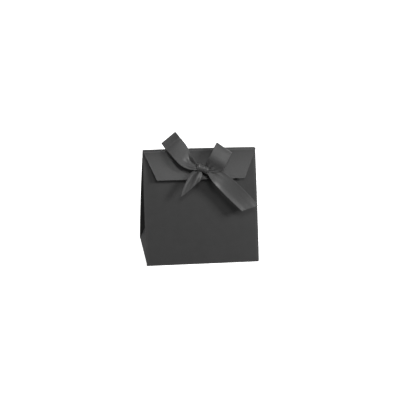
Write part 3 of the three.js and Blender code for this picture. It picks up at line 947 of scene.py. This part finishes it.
SPAN_HALF = 6.0                    # half the inner span's length
SPAN_FOLD = 2.55                   # half its height, folded in three
SPAN_DEPTH = 0.42                  # half the thickness of the three layers
SPAN_GRID = (61, 31)               # points across the ribbon and along it


def make_inner_span():
    """The ribbon that crosses between the holes behind the front panel, folded in three."""
    up = np.array([0.0, SIN_L, COS_L])
    inward = np.array([0.0, COS_L, -SIN_L])
    lo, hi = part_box("ribbon_inner_span")
    middle = (np.array(lo) + np.array(hi)) / 2 / MM
    lanes, rows = SPAN_GRID
    v = np.linspace(0, 1, lanes)
    height = -SPAN_FOLD * np.cos(3 * math.pi * v)
    depth = -SPAN_DEPTH + 2 * SPAN_DEPTH * v + 0.05 * np.sin(6 * math.pi * v)
    section = np.stack([height, depth], axis=1)
    normal = unit(np.stack([-np.gradient(depth), np.gradient(height)], axis=1))
    points, cloth = [], []
    for face in (-1, 1):
        edge = section + normal * face * SATIN / 2
        for x in np.linspace(-SPAN_HALF, SPAN_HALF, rows):
            pinch = 1 - 0.10 * (x / SPAN_HALF) ** 2
            row = middle + np.array([x, 0, 0]) + up * edge[:, :1] * pinch + inward * edge[:, 1:]
            points.append(row)
            cloth += [(t * RIBBON * MM, (x + SPAN_HALF) * MM) for t in v]
    faces = shell_faces(rows, lanes)
    span = make_object("inner_span", np.concatenate(points), faces, SHARP_CLOTH)
    lay_cloth(span, cloth)
    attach(span, "carton")
    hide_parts("ribbon_inner_span")


# ---- studio ----

CAMERA_AZIMUTH = math.radians(8.28)      # left of the front
CAMERA_HEIGHT = math.radians(19.07)
CAMERA_ROLL = math.radians(0.74)
CAMERA_DISTANCE = 0.9961
CAMERA_AIM = np.array([0.00134, 0.0, 0.04772])

LIGHTS_AIM = (0, 0, 0.06)
AMBIENT = 0.18
FLOOR_RADIUS = 6.0                       # metres, then a curve up to a wall all round
COVE_RADIUS = 2.0
WALL_TOP = 7.0
FLOOR_SIDES = 96


def make_camera():
    """A long lens, a little left of the front and looking down."""
    a, e = CAMERA_AZIMUTH, CAMERA_HEIGHT
    c, s = math.cos(CAMERA_ROLL), math.sin(CAMERA_ROLL)
    view = np.array([math.sin(a) * math.cos(e), math.cos(a) * math.cos(e), -math.sin(e)])
    level = np.array([math.cos(a), -math.sin(a), 0.0])
    up = np.cross(level, view)
    right, top = c * level + s * up, c * up - s * level
    data = bpy.data.cameras.new("camera")
    data.lens, data.sensor_width = 100.0, 36.0
    data.clip_start, data.clip_end = 0.05, 60.0
    camera = bpy.data.objects.new("camera", data)
    bpy.context.scene.collection.objects.link(camera)
    place = CAMERA_AIM - view * CAMERA_DISTANCE
    camera.matrix_world = Matrix([
        [right[0], top[0], -view[0], place[0]],
        [right[1], top[1], -view[1], place[1]],
        [right[2], top[2], -view[2], place[2]],
        [0, 0, 0, 1],
    ])
    bpy.context.scene.camera = camera


def softbox(name, direction, distance, size, power):
    """A rectangular light in that direction from the box, in metres and watts."""
    data = bpy.data.lights.new(name, "AREA")
    data.shape, data.size, data.size_y = "RECTANGLE", size[0], size[1]
    data.energy = power
    lamp = bpy.data.objects.new(name, data)
    bpy.context.scene.collection.objects.link(lamp)
    toward = Vector(direction).normalized()
    lamp.location = Vector(LIGHTS_AIM) + toward * distance
    lamp.rotation_mode = "QUATERNION"
    lamp.rotation_quaternion = toward.to_track_quat("Z", "Y")


def make_floor():
    """A round white floor that curves up into a wall, so every view has the same ground."""
    turn = np.linspace(0, 2 * math.pi, FLOOR_SIDES, endpoint=False)
    ring = np.stack([np.cos(turn), np.sin(turn)], axis=1)
    profile = [(FLOOR_RADIUS, 0.0)]
    for rise in np.linspace(0, math.pi / 2, 17)[1:]:
        radius = FLOOR_RADIUS + COVE_RADIUS * math.sin(rise)
        profile.append((radius, COVE_RADIUS - COVE_RADIUS * math.cos(rise)))
    profile.append((FLOOR_RADIUS + COVE_RADIUS, WALL_TOP))
    points = [np.column_stack([ring * radius, np.full(FLOOR_SIDES, height)])
              for radius, height in profile]
    faces = [list(range(FLOOR_SIDES))] + tube_faces(len(profile), FLOOR_SIDES)
    floor = make_object("floor", np.concatenate(points) / MM, faces, 80.0)
    floor.data.materials.append(floor_material())
    floor.visible_diffuse = False
    floor.visible_glossy = False


def make_lights():
    """Four softboxes, each with its direction from the box, distance, size and watts, and even
    light from all round."""
    softbox("key", (0.76, -0.47, 0.44), 1.2, (0.32, 0.32), 12.4)
    softbox("front", (0.08, -0.68, 0.70), 1.3, (0.40, 0.28), 3.15)
    softbox("side", (-0.97, -0.10, 0.22), 1.3, (1.6, 0.6), 12.0)
    softbox("back", (0.60, 0.75, 0.45), 1.3, (0.9, 0.6), 4.0)
    world = bpy.data.worlds.new("studio")
    world.use_nodes = True
    background = world.node_tree.nodes["Background"]
    background.inputs["Color"].default_value = (1, 1, 1, 1)
    background.inputs["Strength"].default_value = AMBIENT
    bpy.context.scene.world = world
    bpy.context.scene.view_settings.view_transform = "Standard"


make_camera()
make_sleeve()
crease_path = back_crease_path()
make_back_crease(crease_path)
make_closing_flap(crease_path)
knot = make_knot()
legs = [make_leg(-1, "left"), make_leg(1, "right")]
make_ribbons()
make_inner_span()
make_floor()
make_lights()
